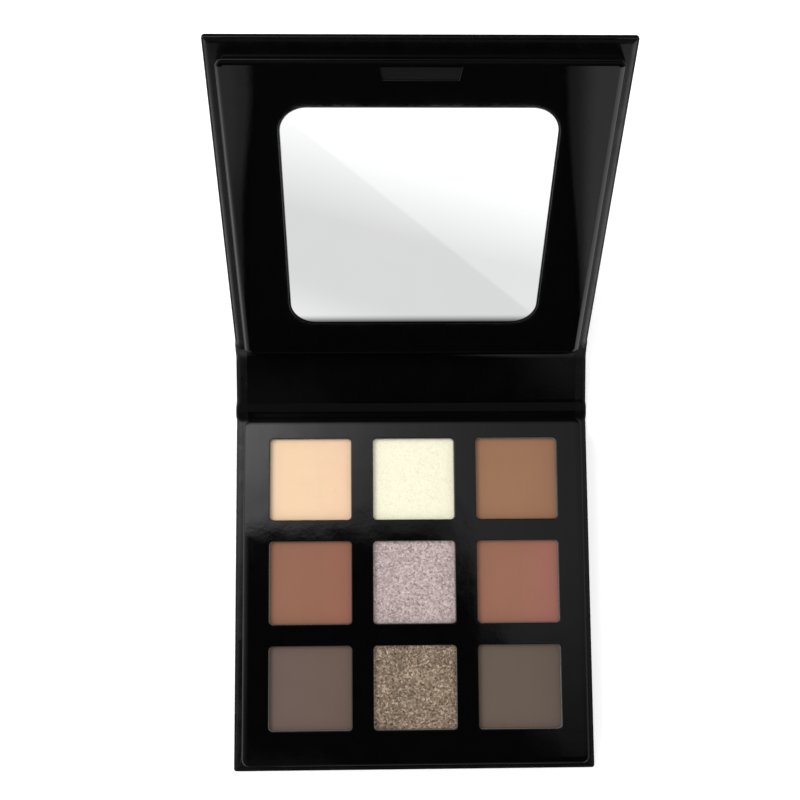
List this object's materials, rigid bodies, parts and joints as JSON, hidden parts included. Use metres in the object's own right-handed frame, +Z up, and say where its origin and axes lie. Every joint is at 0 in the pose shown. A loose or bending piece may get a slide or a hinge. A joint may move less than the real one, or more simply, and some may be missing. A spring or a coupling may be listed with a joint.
{
  "type": "eyeshadow palette",
  "caption": "Book-style eyeshadow palette: hinged gloss-black wrapped boards, a mirror in the lid and square pans of pressed powder in the base tray.",
  "frame": {"origin": "middle of the underside of the base board", "axes": "+Z up, +Y to the hinged back edge, +X to the right seen from the front"},
  "size_m": [0.112, 0.1984, 0.0964],
  "materials": {
    "gloss_wrap": "black, gloss laminated",
    "gloss_lining": "black, gloss laminated",
    "gloss_tray": "black, high gloss",
    "gloss_frame": "black, high gloss",
    "grey_board": "bare grey board",
    "adhesive": "double-sided tape",
    "magnet": "nickel plated",
    "plate_steel": "blackened",
    "mirror_glass": "polished, ground edge",
    "pan_metal": "bright pressed",
    "powder_peach_cream": "pressed powder, matte",
    "powder_ivory_shimmer": "pressed powder, fine shimmer",
    "powder_caramel": "pressed powder, matte",
    "powder_russet": "pressed powder, matte",
    "powder_lilac_glitter": "pressed powder, silver glitter",
    "powder_rose_brown": "pressed powder, matte",
    "powder_dark_taupe": "pressed powder, matte",
    "powder_bronze_glitter": "pressed powder, gold glitter",
    "powder_taupe": "pressed powder, matte"
  },
  "bodies": {
    "base": {"base_board": "grey_board", "base_wrap": "gloss_wrap", "base_lining": "gloss_lining", "lower_groove_wrap": "gloss_wrap", "lower_groove_lining": "gloss_lining", "tray_base_card": "grey_board", "tray_filler_board": "grey_board", "pan_holder": "grey_board", "pan_adhesive_pads": "adhesive", "closure_magnet": "magnet", "tray_cover": "gloss_tray", "pan_back_left": "pan_metal", "powder_back_left": "powder_peach_cream", "pan_back_centre": "pan_metal", "powder_back_centre": "powder_ivory_shimmer", "pan_back_right": "pan_metal", "powder_back_right": "powder_caramel", "pan_middle_left": "pan_metal", "powder_middle_left": "powder_russet", "pan_middle_centre": "pan_metal", "powder_middle_centre": "powder_lilac_glitter", "pan_middle_right": "pan_metal", "powder_middle_right": "powder_rose_brown", "pan_front_left": "pan_metal", "powder_front_left": "powder_dark_taupe", "pan_front_centre": "pan_metal", "powder_front_centre": "powder_bronze_glitter", "pan_front_right": "pan_metal", "powder_front_right": "powder_taupe"},
    "spine": {"spine_board": "grey_board", "spine_wrap": "gloss_wrap", "spine_lining": "gloss_lining", "upper_groove_wrap": "gloss_wrap", "upper_groove_lining": "gloss_lining"},
    "lid": {"lid_board": "grey_board", "lid_wrap": "gloss_wrap", "lid_lining": "gloss_lining", "mirror_frame": "gloss_frame", "mirror_backing_board": "grey_board", "mirror_tape": "adhesive", "mirror": "mirror_glass", "closure_plate": "plate_steel"}
  },
  "joints": [
    {"name": "lower_groove_hinge", "type": "hinge", "parent": "base", "child": "spine", "pos_m": [0, 0.057, 0], "axis": [1, 0, 0], "range_deg": [-12, 78], "deforming": ["lower_groove_wrap", "lower_groove_lining"]},
    {"name": "upper_groove_hinge", "type": "hinge", "parent": "spine", "child": "lid", "pos_m": [0, 0.07754, 0.00437], "axis": [1, 0, 0], "range_deg": [-42, 48], "deforming": ["upper_groove_wrap", "upper_groove_lining"]}
  ]
}
